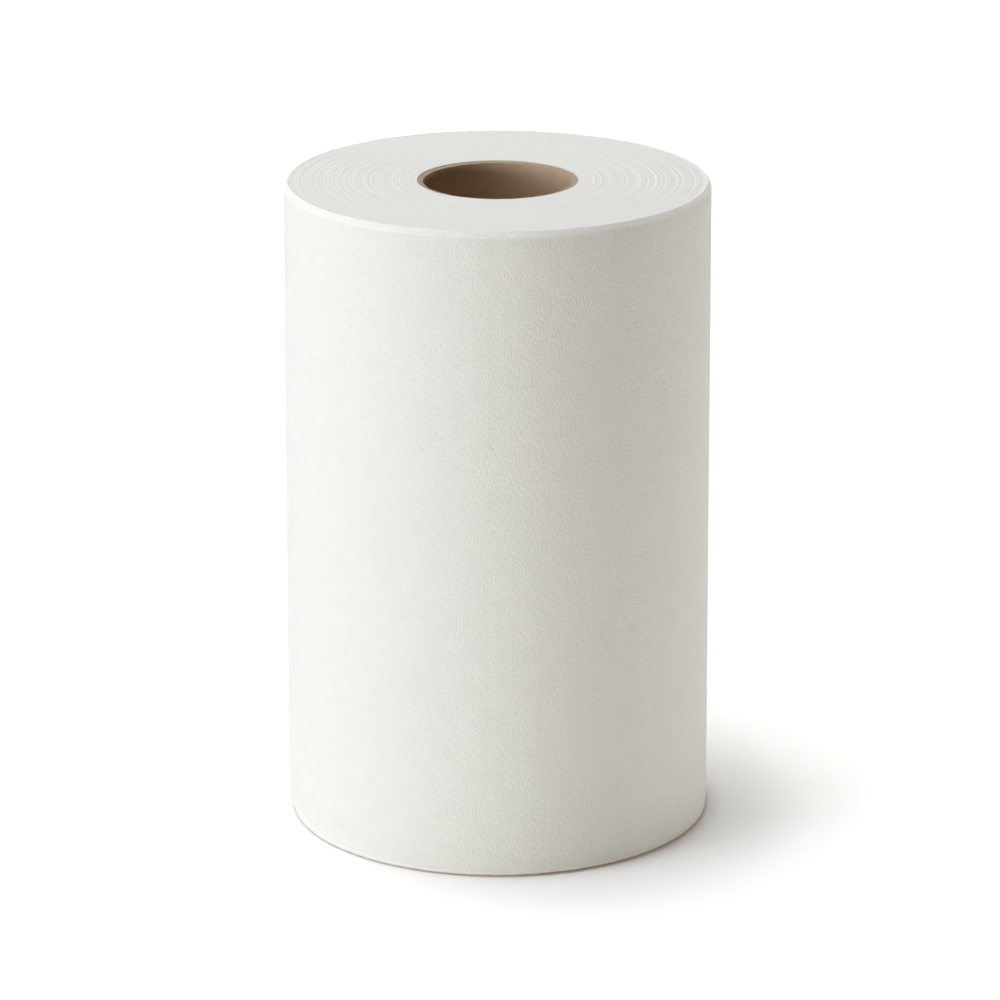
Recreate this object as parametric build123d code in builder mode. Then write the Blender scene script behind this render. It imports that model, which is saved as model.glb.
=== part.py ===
"""Hard-wound paper towel roll: one continuous sheet wound on a paperboard core tube.

The roll stands on its end. Z is the roll's axis, z = 0 is the surface it stands on, and the
loose end of the sheet is at the back (+Y). All sizes are in millimetres.
"""

import os

from build123d import *

# The sheet: its width sets the roll's height
sheet_width = 203.2       # 8 in towel
sheet_thickness = 0.11    # one turn's share of the winding, 107 m of it in this roll
roll_diameter = 132.0     # over the outermost turn

# The core tube, which the first turn is glued to
core_outer_diameter = 49.4
core_wall = 1.8
core_recess = 0.3         # each end of the core lies this far inside the wound sheet's end

# The rim: handling has drawn the edges of the outermost turns in a little at both ends
rim_draw_in = 0.35
rim_height = 2.0

# The free end of the sheet, a straight edge along the full width
tail_azimuth = 112.0      # degrees from +X, on the side away from the front
tail_lift = 0.15          # the end isn't pulled tight, so it stands off the turn below
settling_arc = 90.0       # the turn below comes up to the full radius over this many degrees

# Derived sizes
roll_radius = roll_diameter / 2
core_outer_radius = core_outer_diameter / 2
core_inner_radius = core_outer_radius - core_wall
core_length = sheet_width - 2 * core_recess
tail_step = sheet_thickness + tail_lift
tool_margin = 5.0         # how far a cutting shape runs past what it cuts

os.makedirs("parts", exist_ok=True)


# The wound sheet. All its turns are one solid: the plan is a circle that steps down by the
# sheet's thickness at the free end, and the section's two outer corners are drawn in.
with BuildPart() as wound_sheet:
    settled_centre = Vector(tail_step, 0).rotate(Axis.Z, tail_azimuth + settling_arc)
    with BuildSketch():
        with BuildLine():
            top_turn = CenterArc(
                (0, 0),
                roll_radius,
                start_angle=tail_azimuth + settling_arc,
                arc_size=360 - settling_arc,
            )
            turn_below = CenterArc(
                settled_centre,
                roll_radius - tail_step,
                start_angle=tail_azimuth,
                arc_size=settling_arc,
            )
            Line(top_turn @ 1, turn_below @ 0)
        make_face()
        Circle(core_outer_radius, mode=Mode.SUBTRACT)
    extrude(amount=sheet_width)

    # a thin wedge is turned off the rim at the bottom and at the top
    for end, full_size in ((0, rim_height), (sheet_width, sheet_width - rim_height)):
        with BuildSketch(Plane.XZ):
            with BuildLine():
                Polyline(
                    (roll_radius - rim_draw_in, end),
                    (roll_radius, full_size),
                    (roll_radius + tool_margin, full_size),
                    (roll_radius + tool_margin, end),
                    close=True,
                )
            make_face()
        revolve(axis=Axis.Z, mode=Mode.SUBTRACT)

wound_sheet.part.label = "wound_sheet"
export_step(wound_sheet.part, "parts/wound_sheet.step")


# The core tube, cut square at both ends and held by the first turn all along its outside.
with BuildPart() as core_tube:
    with BuildSketch(Plane.XY.offset(core_recess)):
        Circle(core_outer_radius)
        Circle(core_inner_radius, mode=Mode.SUBTRACT)
    extrude(amount=core_length)

core_tube.part.label = "core_tube"
export_step(core_tube.part, "parts/core_tube.step")
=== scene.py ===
"""Hard-wound paper towel roll, standing on its end on a white studio sweep.

Lengths are in metres. Z is the roll's axis, the floor is z = 0, and the camera looks along +Y.
"""

import math

import bpy
import numpy as np
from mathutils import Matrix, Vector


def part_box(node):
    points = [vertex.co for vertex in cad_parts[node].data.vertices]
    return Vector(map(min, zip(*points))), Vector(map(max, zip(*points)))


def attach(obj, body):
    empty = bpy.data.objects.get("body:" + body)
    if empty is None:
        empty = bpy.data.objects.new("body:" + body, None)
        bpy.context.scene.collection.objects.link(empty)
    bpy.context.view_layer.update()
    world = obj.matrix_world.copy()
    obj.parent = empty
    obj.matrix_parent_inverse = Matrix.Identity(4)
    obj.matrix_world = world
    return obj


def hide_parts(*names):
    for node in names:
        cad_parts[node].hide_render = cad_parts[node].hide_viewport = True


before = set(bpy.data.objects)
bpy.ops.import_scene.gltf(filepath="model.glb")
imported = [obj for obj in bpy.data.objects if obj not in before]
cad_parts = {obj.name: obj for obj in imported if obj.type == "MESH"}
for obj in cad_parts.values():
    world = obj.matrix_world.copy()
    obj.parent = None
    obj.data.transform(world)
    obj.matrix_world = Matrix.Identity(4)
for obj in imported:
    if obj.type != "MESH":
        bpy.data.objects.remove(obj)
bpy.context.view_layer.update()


# ---------------------------------------------------------------------------------------------
# The wound sheet: one long sheet of creped white towel paper, wound hard and slit to width. Its
# turns show as faint rings on the two end faces, and its free end lies on the side away from
# the camera.

mm = 0.001


def add_node(tree, kind, settings=None, inputs=None):
    """Adds a node. settings are its own options, and inputs gives each socket, by name or
    number, a value or the output that feeds it. A Mix node's colours are its inputs 6 and 7
    and its output 2."""
    node = tree.nodes.new("ShaderNode" + kind)
    for name, value in (settings or {}).items():
        setattr(node, name, value)
    for name, value in (inputs or {}).items():
        if isinstance(value, bpy.types.NodeSocket):
            tree.links.new(value, node.inputs[name])
        else:
            node.inputs[name].default_value = value
    return node


def linear(hex_colour):
    """An sRGB hex colour as linear red, green and blue, with full alpha."""
    srgb = np.array([int(hex_colour[i:i + 2], 16) for i in (1, 3, 5)]) / 255
    rgb = np.where(srgb <= 0.04045, srgb / 12.92, ((srgb + 0.055) / 1.055) ** 2.4)
    return (*rgb.tolist(), 1.0)


def new_material(name):
    """An empty material and its node tree."""
    material = bpy.data.materials.new(name)
    material.use_nodes = True
    material.node_tree.nodes.clear()
    return material, material.node_tree


def ripple(x, wavelengths, seed):
    """Sum of sines along x, one for each wavelength and each with its own seeded phase, over the
    root of their number."""
    phases = np.random.default_rng(seed).uniform(0, 2 * math.pi, len(wavelengths))
    waves = np.sin(2 * math.pi * x[..., None] / np.asarray(wavelengths) + phases)
    return waves.sum(axis=-1) / math.sqrt(len(wavelengths))


def ease(x):
    """Smooth step: 0 up to x = 0, 1 from x = 1 on, level at both ends."""
    x = np.clip(x, 0, 1)
    return x * x * (3 - 2 * x)


def closed_grid(name, points, uv, materials, material_of_row):
    """A mesh from points[column, row] whose columns and rows both close on themselves, as a ring
    does. A corner's uv is its point's, and the last column's corners use the extra column of
    uv, so that the pattern doesn't run backwards over the seam."""
    columns, rows = points.shape[:2]
    column, row = np.meshgrid(np.arange(columns), np.arange(rows), indexing="ij")
    next_column, next_row = (column + 1) % columns, (row + 1) % rows
    corners = [(column, row), (next_column, row), (next_column, next_row), (column, next_row)]
    quads = np.stack([c * rows + r for c, r in corners], axis=-1).reshape(-1, 4)
    uv_corners = [(column, row), (column + 1, row), (column + 1, row + 1), (column, row + 1)]
    corner_uv = np.stack([uv[c, r] for c, r in uv_corners], axis=2).reshape(-1, 2)
    mesh = bpy.data.meshes.new(name)
    mesh.from_pydata(points.reshape(-1, 3), [], quads.tolist())
    mesh.uv_layers.new(name="surface").data.foreach_set("uv", corner_uv.ravel())
    for material in materials:
        mesh.materials.append(material)
    mesh.polygons.foreach_set("material_index", np.tile(material_of_row, columns))
    mesh.polygons.foreach_set("use_smooth", np.ones(len(quads), dtype=bool))
    mesh.set_sharp_from_angle(angle=math.radians(38))
    piece = bpy.data.objects.new(name, mesh)
    bpy.context.collection.objects.link(piece)
    return piece


sheet_high = np.array(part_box("wound_sheet")[1])
roll_radius = sheet_high[1]
sheet_width = sheet_high[2]
bore_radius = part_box("core_tube")[1][0]

turn_thickness = 0.11 * mm
tail_azimuth = math.radians(112)     # where the sheet ends, counted from +X
tail_step = 0.26 * mm                # the turn below lies this much lower there
settling_arc = math.radians(90)      # and comes back to the full radius over this arc
tail_lift = 0.45 * mm                # how far the free edge springs off the roll
lifted_arc = math.radians(11)        # over this arc,
held_at_rim = 12 * mm                # and less, this near the rims
paper_edge = 0.16 * mm
gap_under_edge = 1.6 * mm            # how deep the gap under the free edge goes
slack_depth = 0.05 * mm              # the flutes of the slack outer turns
taper = 1.0 * mm                     # the foot is this much further out than the top
rim_height = 1.4 * mm                # the wall leans in over this height at the top
rim_lean = math.tan(math.radians(40.5))
foot_height = 4.5 * mm               # and over this height at the foot
foot_lean = math.tan(math.radians(22))
relief_depth = 0.07 * mm             # bands of turns stand this proud of the end face or lie low
lip_height = 0.16 * mm               # and the last few stand proud all round
lip_width = 0.6 * mm
ragged_depth = 0.05 * mm             # the blade left the rim this wavy
ragged_width = 1.2 * mm
foot_lift = 0.9 * mm                 # the last turns at the foot are pushed up off the floor,
foot_width = 4.0 * mm                # most of all on one side, where the wall leans less
lifted_side = math.radians(-35)
painted_highlight_height = 1.7 * mm            # the wall is painted whiter over this height at both rims, a painted highlight


def towel_paper():
    """Creped towel paper: soft matt fibre with fine ridges across the web, which run up the wall
    of the roll. The eye sees a felt-like grain and no gloss."""
    material, tree = new_material("creped_towel_paper")
    surface = add_node(tree, "UVMap", {"uv_map": "surface"})
    # crepe ridges lie about 0.5 mm apart and break up after 1.1 mm; the fibres between them
    # are drawn at 0.9 mm, several times their size, so that they show
    ridges = add_node(tree, "Mapping", {}, {"Vector": surface.outputs["UV"],
                                            "Scale": (1 / (0.5 * mm), 1 / (1.1 * mm), 1)})
    crepe = add_node(tree, "TexNoise", {"noise_dimensions": "2D"},
                     {"Vector": ridges.outputs["Vector"], "Scale": 1.0, "Detail": 2.0,
                      "Roughness": 0.55})
    grain = add_node(tree, "TexNoise", {"noise_dimensions": "2D"},
                     {"Vector": surface.outputs["UV"], "Scale": 1 / (0.9 * mm), "Detail": 3.0,
                      "Roughness": 0.6})
    relief = add_node(tree, "Mix", {"data_type": "FLOAT"},
                      {"Factor": 0.5, "A": crepe.outputs["Fac"], "B": grain.outputs["Fac"]})
    bump = add_node(tree, "Bump", {}, {"Height": relief.outputs["Result"], "Strength": 1.0,
                                       "Distance": 0.44 * mm})
    # the sheet's formation: fibres gather in clouds about 6 mm across
    clouds = add_node(tree, "TexNoise", {"noise_dimensions": "2D"},
                      {"Vector": surface.outputs["UV"], "Scale": 1 / (6 * mm), "Detail": 3.0})
    formed = add_node(tree, "Mix", {"data_type": "RGBA"},
                      {0: clouds.outputs["Fac"], 6: linear("#E7E7E3"), 7: linear("#EAEAE6")})
    # painted highlight: the wall is painted whiter near both rims, standing in for the light
    # band where the rims lean in and catch light
    place = add_node(tree, "TexCoord")
    height = add_node(tree, "SeparateXYZ", {}, {"Vector": place.outputs["Object"]})
    from_middle = add_node(tree, "Math", {"operation": "SUBTRACT"},
                           {0: height.outputs["Z"], 1: sheet_width / 2})
    either_way = add_node(tree, "Math", {"operation": "ABSOLUTE"},
                          {0: from_middle.outputs["Value"]})
    painted_rim_highlight = add_node(tree, "MapRange", {"interpolation_type": "SMOOTHSTEP"},
                       {"Value": either_way.outputs["Value"],
                        "From Min": sheet_width / 2 - painted_highlight_height - 0.2 * mm,
                        "From Max": sheet_width / 2 - painted_highlight_height + 0.2 * mm})
    colour = add_node(tree, "Mix", {"data_type": "RGBA"},
                      {0: painted_rim_highlight.outputs["Result"], 6: formed.outputs[2],
                       7: linear("#F1F0ED")})
    shader = add_node(tree, "BsdfPrincipled", {},
                      {"Base Color": colour.outputs[2], "Roughness": 0.95,
                       "IOR": 1.5, "Specular IOR Level": 0.1, "Subsurface Weight": 0.4,
                       "Subsurface Radius": (1, 1, 1), "Subsurface Scale": 1.5 * mm,
                       "Normal": bump.outputs["Normal"]})
    add_node(tree, "OutputMaterial", {}, {"Surface": shader.outputs["BSDF"]})
    return material


def slit_edges():
    """The cut edges of the same paper, painted paler than the wall as painted light on the end
    faces:
    hundreds of turns side by side, matt, with faint rings where some turns stand a hair higher
    or lie looser than their neighbours."""
    material, tree = new_material("slit_paper_edges")
    place = add_node(tree, "TexCoord")
    flat = add_node(tree, "VectorMath", {"operation": "MULTIPLY"},
                    {0: place.outputs["Object"], 1: (1, 1, 0)})
    radius = add_node(tree, "VectorMath", {"operation": "LENGTH"}, {0: flat.outputs["Vector"]})
    # a turn is 0.11 mm, too fine to show, so the rings are drawn about 0.5 mm and 1.6 mm wide
    fine = add_node(tree, "TexNoise", {"noise_dimensions": "1D"},
                    {"W": radius.outputs["Value"], "Scale": 1 / (0.5 * mm), "Detail": 1.0})
    broad = add_node(tree, "TexNoise", {"noise_dimensions": "1D"},
                     {"W": radius.outputs["Value"], "Scale": 1 / (1.6 * mm), "Detail": 2.0})
    rings = add_node(tree, "Mix", {"data_type": "FLOAT"},
                     {"Factor": 0.5, "A": fine.outputs["Fac"], "B": broad.outputs["Fac"]})
    # the rings come and go along their length
    patches = add_node(tree, "TexNoise", {"noise_dimensions": "3D"},
                       {"Vector": place.outputs["Object"], "Scale": 1 / (14 * mm)})
    rough = add_node(tree, "TexNoise", {"noise_dimensions": "3D"},
                     {"Vector": place.outputs["Object"], "Scale": 1 / (0.9 * mm), "Detail": 3.0})
    relief = add_node(tree, "Mix", {"data_type": "FLOAT"},
                      {"Factor": patches.outputs["Fac"], "A": rings.outputs["Result"],
                       "B": rough.outputs["Fac"]})
    bump = add_node(tree, "Bump", {}, {"Height": relief.outputs["Result"], "Strength": 1.0,
                                       "Distance": 0.12 * mm})
    # painted light: the end faces are painted paler than the wall's paper, which lightens the
    # top face
    colour = add_node(tree, "Mix", {"data_type": "RGBA"},
                      {0: rings.outputs["Result"], 6: linear("#F1F1EE"), 7: linear("#F8F8F5")})
    shader = add_node(tree, "BsdfPrincipled", {},
                      {"Base Color": colour.outputs[2], "Roughness": 1.0,
                       "IOR": 1.5, "Specular IOR Level": 0.1, "Subsurface Weight": 0.4,
                       "Subsurface Radius": (1, 1, 1), "Subsurface Scale": 1.5 * mm,
                       "Normal": bump.outputs["Normal"]})
    add_node(tree, "OutputMaterial", {}, {"Surface": shader.outputs["BSDF"]})
    return material


def straight_lean(x, rounding=0.15):
    """1 - x while x is well under 1, 0 well past it, and a parabola joins the two."""
    joined = (1 + rounding - x).clip(0, 2 * rounding) ** 2 / (4 * rounding)
    return np.where(x < 1 - rounding, 1 - x, joined)


def wound_sheet_points(columns=356, top_rings=150, foot_rings=58, wall_rows=30):
    """The winding as a closed section carried once round the axis. The section runs out along
    the foot, up the wall, in along the top and down the bore. Its outer radius is the roll's,
    less the tail step just after the free end, which eases away as 1 - sin. The last two
    columns are the free edge's underside and the root of the gap below it. Returns the
    points[column, row], their uv, and for each row -1 on the foot, 0 on the wall and 1 on the
    top."""
    after_edge = tail_step / roll_radius
    azimuth = tail_azimuth + np.linspace(after_edge, 2 * math.pi, columns)
    past_tail = azimuth - tail_azimuth
    settling = np.clip(past_tail / settling_arc, 0, 1)
    outer = roll_radius - tail_step * (1 - np.sin(settling * math.pi / 2))
    lift = ((past_tail - 2 * math.pi + lifted_arc) / lifted_arc).clip(0, 1) ** 2

    # the section: each row's share of the way from bore to wall, and its height, with rows
    # close together at the rims, given there as shares of the height that leans in
    foot = 1 - np.linspace(1, 0, foot_rings) ** 1.35
    top = 1 - np.linspace(0, 1, top_rings) ** 1.04
    near_rim = np.array([0.2, 0.4, 0.6, 0.75, 0.85, 0.95, 1.05, 1.15])
    low_rim, high_rim = foot_height * near_rim, sheet_width - rim_height * near_rim[::-1]
    wall = np.linspace(low_rim[-1], high_rim[0], wall_rows)[1:-1]
    wall = np.concatenate([low_rim, wall, high_rim])
    out = np.concatenate([foot, np.ones(len(wall)), top])
    height = np.concatenate([np.zeros(foot_rings), wall, np.full(top_rings, sheet_width)])
    end = np.concatenate([-np.ones(foot_rings), np.zeros(len(wall)), np.ones(top_rings)])
    to_rim = np.minimum(height, sheet_width - height)
    side = (1 + np.cos(azimuth[:, None] - lifted_side)) / 2
    # the lean is straight, and a parabola rounds it off where it meets the wall
    top_lean = rim_height * rim_lean * straight_lean((sheet_width - height) / rim_height)
    low_lean = foot_height * foot_lean * straight_lean(height / foot_height) * (1 - 0.95 * side)
    draw_in = (top_lean + low_lean) * out ** 6
    widening = taper * (0.5 - height / sheet_width) * out

    # slack in the outer turns: broad shallow flutes up the wall, and a free edge that waves
    around = azimuth[:, None] * roll_radius + 0 * height
    flutes = ripple(around, 2 * math.pi * roll_radius / np.array([5, 8, 11, 13, 17, 23, 31]), 3)
    sway = ripple(0 * around + height, np.array([0.11, 0.17, 0.29]), 5)
    slack = slack_depth * flutes * (1 + 0.5 * sway) * out ** 3
    wave = 0.65 + 0.35 * ripple(height, np.array([0.024, 0.041, 0.07]), 8)
    held = 0.35 + 0.65 * ease(to_rim / held_at_rim)
    free_edge = tail_lift * lift[:, None] * wave * held * out ** 8
    radius = bore_radius + (outer[:, None] - bore_radius) * out + widening - draw_in
    radius = radius + slack + free_edge

    # relief of the end faces: groups of turns stand proud or lie low, along the spiral
    along = radius - turn_thickness * past_tail[:, None] / (2 * math.pi)
    bands = ripple(along, np.array([1.1, 1.3, 1.7, 2.1, 2.9, 4.3, 7.1]) * mm, 11)
    fade = 0.75 + 0.25 * ripple(around, 2 * math.pi * roll_radius / np.array([2, 3, 5, 7]), 12)
    relief = relief_depth * bands * fade * ease((radius - bore_radius) / lip_width)
    from_edge = (1 - out) * (roll_radius - bore_radius)
    lip = lip_height * ease(1 - from_edge / lip_width)
    pushed_up = foot_lift * side * ease(1.5 * (1 - from_edge / foot_width))
    height = height + np.where(end > 0, relief + lip, 0) + np.where(end < 0, pushed_up, 0)
    ragged = ripple(around, 2 * math.pi * roll_radius / np.array([19, 37, 61, 83, 97]), 14)
    height = height + ragged_depth * ragged * end * ease(1 - from_edge / ragged_width)
    # the wall's lowest rows rise with the foot
    rising = foot_lift * side * (1 - height / foot_height).clip(0, 1)
    height = height + np.where(end == 0, rising, 0)

    # the free edge's underside and the gap's root: on the wall they fold back under the edge
    on_wall = ease(to_rim / (1.5 * mm)) * (end == 0)
    slot_azimuth = tail_azimuth + after_edge * np.array([1 / 3, 2 / 3])[:, None] + 0 * to_rim
    slot_azimuth[0] -= after_edge / 3 * on_wall
    slot_azimuth[1] -= (gap_under_edge / roll_radius + after_edge * 2 / 3) * on_wall
    step_rows = np.linspace(radius[-1], radius[0], 4)[1:3]
    under = radius[-1] - paper_edge
    root = radius[0] + 0.01 * mm
    slot_radius = step_rows + (np.stack([under, root]) - step_rows) * on_wall
    radius = np.concatenate([radius, slot_radius])
    height = np.concatenate([height, np.linspace(height[-1], height[0], 4)[1:3]])
    azimuth = np.concatenate([azimuth[:, None] + 0 * to_rim, slot_azimuth + 2 * math.pi])
    points = np.stack([radius * np.cos(azimuth), radius * np.sin(azimuth), height], axis=-1)

    # uv in metres: along the sheet, and up the wall or out along an end face
    travel = np.hypot(*np.diff(np.stack([out * (roll_radius - bore_radius), height[0]]), axis=1))
    travel = np.concatenate([[0], np.cumsum(travel)])
    travel = np.append(travel, travel[-1] + sheet_width)
    along_sheet = azimuth[:, 0] * roll_radius
    along_sheet = np.append(along_sheet, along_sheet[-1] + paper_edge)
    uv = np.stack(np.broadcast_arrays(along_sheet[:, None], travel[None, :]), axis=-1)
    return points, uv, end


points, uv, end = wound_sheet_points()
# a face spans its row and the next, so it is on an end where both rows are
is_end = (end != 0) & (np.roll(end, -1) == end)
wound_sheet = closed_grid("wound_towel_sheet", points, uv, [towel_paper(), slit_edges()],
                          is_end.astype(int))
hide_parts("wound_sheet")
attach(wound_sheet, "root")


# ---------------------------------------------------------------------------------------------
# The core tube: strips of brown kraft paperboard wound in a spiral, glued ply on ply and cut to
# length. The inner ply's edges meet in a seam that climbs round the bore.

def kraft_paperboard():
    """Kraft paperboard: matt brown board of recycled fibre, calendered on its face, so the eye
    sees a warm tan with darker flecks along the strip and a very weak sheen."""
    material, tree = new_material("kraft_paperboard")
    surface = add_node(tree, "UVMap", {"uv_map": "surface"})
    # fibres lie along the strip, drawn about 0.5 mm by 4 mm
    along = add_node(tree, "Mapping", {}, {"Vector": surface.outputs["UV"],
                                           "Rotation": (0, 0, math.radians(-35)),
                                           "Scale": (1 / (4 * mm), 1 / (0.5 * mm), 1)})
    fibres = add_node(tree, "TexNoise", {"noise_dimensions": "2D"},
                      {"Vector": along.outputs["Vector"], "Scale": 1.0, "Detail": 3.0})
    clouds = add_node(tree, "TexNoise", {"noise_dimensions": "2D"},
                      {"Vector": surface.outputs["UV"], "Scale": 1 / (5 * mm), "Detail": 2.0})
    tone = add_node(tree, "Mix", {"data_type": "FLOAT"},
                    {"Factor": 0.4, "A": fibres.outputs["Fac"],
                     "B": clouds.outputs["Fac"]})
    colour = add_node(tree, "Mix", {"data_type": "RGBA"},
                      {0: tone.outputs["Result"], 6: linear("#D2B798"), 7: linear("#E3CAB1")})
    bump = add_node(tree, "Bump", {}, {"Height": fibres.outputs["Fac"], "Strength": 1.0,
                                       "Distance": 0.02 * mm})
    shader = add_node(tree, "BsdfPrincipled", {},
                      {"Base Color": colour.outputs[2], "Roughness": 0.75, "IOR": 1.5,
                       "Specular IOR Level": 0.3, "Normal": bump.outputs["Normal"]})
    add_node(tree, "OutputMaterial", {}, {"Surface": shader.outputs["BSDF"]})
    return material


def cut_plies():
    """The board's sawn ends: plies edge on, matt and frayed, greyer than the board's face. The
    inner ply is painted warmer, a painted highlight along the bore's edge, and the outer plies
    greyer, partly their own tone and partly painted shade at the joint with the paper."""
    material, tree = new_material("cut_paperboard_plies")
    place = add_node(tree, "TexCoord")
    flat = add_node(tree, "VectorMath", {"operation": "MULTIPLY"},
                    {0: place.outputs["Object"], 1: (1, 1, 0)})
    radius = add_node(tree, "VectorMath", {"operation": "LENGTH"}, {0: flat.outputs["Vector"]})
    ply = add_node(tree, "MapRange", {"interpolation_type": "SMOOTHSTEP"},
                   {"Value": radius.outputs["Value"],
                    "From Min": core_high[0] - core_wall + 0.3 * mm,
                    "From Max": core_high[0] - core_wall + 0.9 * mm})
    # a ply is about 0.4 mm, and the glue between plies shows as a faint darker ring
    rings = add_node(tree, "TexNoise", {"noise_dimensions": "1D"},
                     {"W": radius.outputs["Value"], "Scale": 1 / (0.4 * mm)})
    frayed = add_node(tree, "TexNoise", {"noise_dimensions": "3D"},
                      {"Vector": place.outputs["Object"], "Scale": 1 / (0.7 * mm),
                       "Detail": 3.0})
    relief = add_node(tree, "Mix", {"data_type": "FLOAT"},
                      {"Factor": 0.5, "A": rings.outputs["Fac"], "B": frayed.outputs["Fac"]})
    bump = add_node(tree, "Bump", {}, {"Height": relief.outputs["Result"], "Strength": 1.0,
                                       "Distance": 0.12 * mm})
    # painted highlight on the inner ply at the bore's edge, and partly painted shade on the
    # outer plies next to the paper
    colour = add_node(tree, "Mix", {"data_type": "RGBA"},
                      {0: ply.outputs["Result"], 6: linear("#BAA48F"), 7: linear("#B4A593")})
    shader = add_node(tree, "BsdfPrincipled", {},
                      {"Base Color": colour.outputs[2], "Roughness": 0.95, "IOR": 1.5,
                       "Specular IOR Level": 0.1, "Normal": bump.outputs["Normal"]})
    add_node(tree, "OutputMaterial", {}, {"Surface": shader.outputs["BSDF"]})
    return material


core_low, core_high = (np.array(corner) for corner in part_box("core_tube"))
core_wall = 1.8 * mm
ply_pitch = 104 * mm                 # the seam climbs this far in one turn
seam_azimuth_at_top = math.radians(84)
seam_width = 0.7 * mm
seam_depth = 0.15 * mm
fuzz_depth = 0.05 * mm               # the blade left the cut ends this wavy
cut_rounding = 0.12 * mm             # and rounded over towards the bore


def core_points(columns=240, bore_rows=150, cut_rows=7):
    """A tube as a closed section carried round the axis: out across the bottom cut, up the
    outside, in across the top cut and down the bore. The bore has a groove of cosine section
    along the helix z = top + pitch * turns. Returns points[column, row], their uv and whether
    the face from each row to the next is a cut."""
    azimuth = np.linspace(0, 2 * math.pi, columns, endpoint=False)[:, None]
    low, high = core_low[2], core_high[2]
    outer_radius = core_high[0]
    across = np.linspace(0, 1, cut_rows)[1:-1]
    out = np.concatenate([across, [1, 1], 1 - across, np.zeros(bore_rows)])
    height = np.concatenate([np.full(len(across), low), [low, high],
                             np.full(len(across), high), np.linspace(high, low, bore_rows)])
    is_cut = height == np.roll(height, -1)
    climb = (azimuth - seam_azimuth_at_top) / (2 * math.pi) * ply_pitch
    off_seam = (height - high - climb + ply_pitch / 2) % ply_pitch - ply_pitch / 2
    groove = seam_depth * np.cos(np.clip(off_seam / seam_width, -0.5, 0.5) * math.pi)
    fuzz = fuzz_depth * ripple(azimuth * outer_radius + 0 * height,
                               2 * math.pi * outer_radius / np.array([9, 14, 23, 37]), 21)
    cut = (height == high).astype(float) - (height == low)
    radius = outer_radius - core_wall * (1 - out) + groove * (1 - out)
    up_the_strip = np.append(height, height[0])
    height = height + cut * (fuzz - cut_rounding * (1 - out) ** 3)
    points = np.stack(np.broadcast_arrays(radius * np.cos(azimuth), radius * np.sin(azimuth),
                                          height), axis=-1)
    along = np.linspace(0, 2 * math.pi, columns + 1) * (outer_radius - core_wall)
    uv = np.stack(np.broadcast_arrays(along[:, None], up_the_strip[None, :]), axis=-1)
    return points, uv, is_cut


points, uv, is_cut = core_points()
core = closed_grid("paperboard_core", points, uv, [kraft_paperboard(), cut_plies()],
                   is_cut.astype(int))
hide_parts("core_tube")
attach(core, "root")


# ---------------------------------------------------------------------------------------------
# The studio: a white sweep that glows, with a painted shadow round the roll's foot and painted
# light far out, lit brightly enough to lose its edges, two large softboxes at the left, one
# overhead, and weak warm fills in front, at the right and behind.

def sweep_with_painted_shadow():
    """Matt white sweep that glows, with painted shadow and painted light in its glow. The glow
    is left out under the roll's foot and painted dimmer round it, a painted shadow, a little off
    the roll's axis because one side of the foot is lifted and the other drawn in. Outside the
    foot it grows as the root of the distance, over 5 mm, then evenly, over 33 mm, and far out it
    doubles, a painted light that makes up for the softboxes' light, which fades there. Under the
    roll's edge the floor is painted a warm tan, a painted contact shadow."""
    material, tree = new_material("white_sweep_painted_shadow")
    place = add_node(tree, "TexCoord")
    off_axis = 1.9 * mm
    middle = [off_axis * math.cos(lifted_side), off_axis * math.sin(lifted_side), 0]
    from_middle = add_node(tree, "VectorMath", {"operation": "DISTANCE"},
                           {0: place.outputs["Object"], 1: middle})
    # each of these grows from 0 to 1 between its two distances: the first two paint shadow into
    # the glow round the foot, the third paints light far out, and the last ends the tan painted
    # shade under the roll's edge
    painted_shadow_at_foot, painted_shadow_round_foot, painted_light_far_out, outside = (
        add_node(tree, "MapRange", {}, {"Value": from_middle.outputs["Value"],
                                        "From Min": low, "From Max": high}).outputs["Result"]
        for low, high in [(roll_radius - 2.6 * mm, roll_radius + 5 * mm),
                          (roll_radius, roll_radius + 33 * mm),
                          (0.5, 1.4),
                          (roll_radius - 1.6 * mm, roll_radius - 0.1 * mm)])
    # painted shadow: the glow is left out under the foot and dimmed for 33 mm round it; painted
    # light: it doubles far out
    root = add_node(tree, "Math", {"operation": "SQRT"}, {0: painted_shadow_at_foot})
    near = add_node(tree, "Mix", {"data_type": "FLOAT"},
                    {"Factor": 0.42, "A": root.outputs["Value"], "B": painted_shadow_round_foot})
    glow = add_node(tree, "Math", {"operation": "ADD"}, {0: painted_light_far_out, 1: near.outputs["Result"]})
    # painted shade: the floor is painted tan under the roll's edge, a warm contact shadow in its
    # colour
    colour = add_node(tree, "Mix", {"data_type": "RGBA"},
                      {0: outside, 6: linear("#F2DCC4"), 7: linear("#F8F8F8")})
    shader = add_node(tree, "BsdfPrincipled", {},
                      {"Base Color": colour.outputs[2], "Roughness": 1.0,
                       "Specular IOR Level": 0.0, "Emission Strength": 0.36,
                       "Emission Color": glow.outputs["Value"]})
    add_node(tree, "OutputMaterial", {}, {"Surface": shader.outputs["BSDF"]})
    return material


def add_floor(half_size=1.45):
    """One square of floor under the roll. It ends short of the softboxes, where it is as white
    as what is behind it."""
    mesh = bpy.data.meshes.new("floor")
    corners = [(-1, -1), (1, -1), (1, 1), (-1, 1)]
    mesh.from_pydata([(x * half_size, y * half_size, 0) for x, y in corners], [], [(0, 1, 2, 3)])
    mesh.materials.append(sweep_with_painted_shadow())
    floor = bpy.data.objects.new("floor", mesh)
    bpy.context.collection.objects.link(floor)


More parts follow.
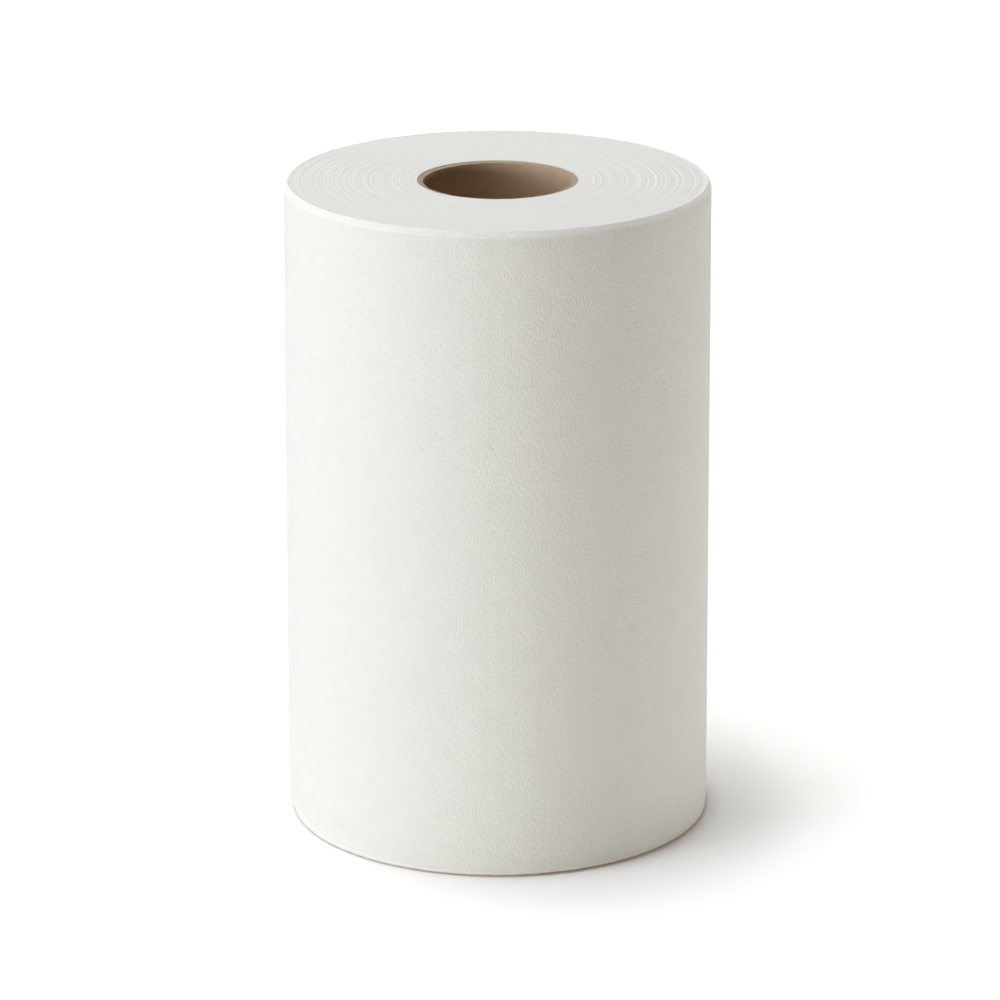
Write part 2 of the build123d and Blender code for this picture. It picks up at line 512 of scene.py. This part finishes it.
def add_light(name, azimuth, elevation, width, height, power, colour, distance=1.6):
    """A rectangular softbox that far from the middle of the roll and aimed at it. Azimuth is in
    degrees to the right of the camera's side, and elevation in degrees above the level."""
    data = bpy.data.lights.new(name, "AREA")
    data.shape = "RECTANGLE"
    data.size = width
    data.size_y = height
    data.energy = power
    data.color = linear(colour)[:3]
    light = bpy.data.objects.new(name, data)
    bpy.context.collection.objects.link(light)
    a, e = math.radians(azimuth), math.radians(elevation)
    away = np.array([math.sin(a) * math.cos(e), -math.cos(a) * math.cos(e), math.sin(e)])
    light.location = away * distance + (0, 0, sheet_width / 2)
    light.rotation_euler = (math.pi / 2 - e, 0, a)
    light.visible_camera = False


add_floor()
add_light("low_key_softbox", -62, 8, 0.9, 0.3, 10.1, "#EFF4FD")
add_light("high_key_softbox", -71, 26, 0.9, 0.6, 3.4, "#FFFBF6")
add_light("overhead_softbox", -90, 81, 0.7, 0.4, 13.9, "#FFFFFF")
add_light("front_fill", -10, 4, 0.6, 0.2, 3.9, "#FFF3DB")
add_light("right_fill", 115, 4, 0.8, 0.2, 8.0, "#FFFBF0")
add_light("low_back_fill", 180, 20, 1.6, 0.4, 5.0, "#FFFDFB")
add_light("high_back_fill", 180, 60, 1.6, 0.4, 3.2, "#FFFDFA")

# white behind the sweep, seen but giving no light
world = bpy.data.worlds.new("white_background")
world.use_nodes = True
world.node_tree.nodes["Background"].inputs["Color"].default_value = linear("#FFFFFF")
for ray in ("diffuse", "glossy", "transmission", "scatter"):
    setattr(world.cycles_visibility, ray, False)
bpy.context.scene.world = world
bpy.context.scene.view_settings.view_transform = "Standard"


# ---------------------------------------------------------------------------------------------
# The camera: a long lens a little over a metre away, looking down on the roll.

camera_data = bpy.data.cameras.new("camera")
camera_data.sensor_width = 36
camera_data.lens = 167.2
camera_data.clip_end = 20
camera = bpy.data.objects.new("camera", camera_data)
camera.location = (0.00074, -1.384, 0.5459)
looking_down = math.radians(17.857)
camera.rotation_euler = (math.pi / 2 - looking_down, 0, 0)
bpy.context.collection.objects.link(camera)
bpy.context.scene.camera = camera
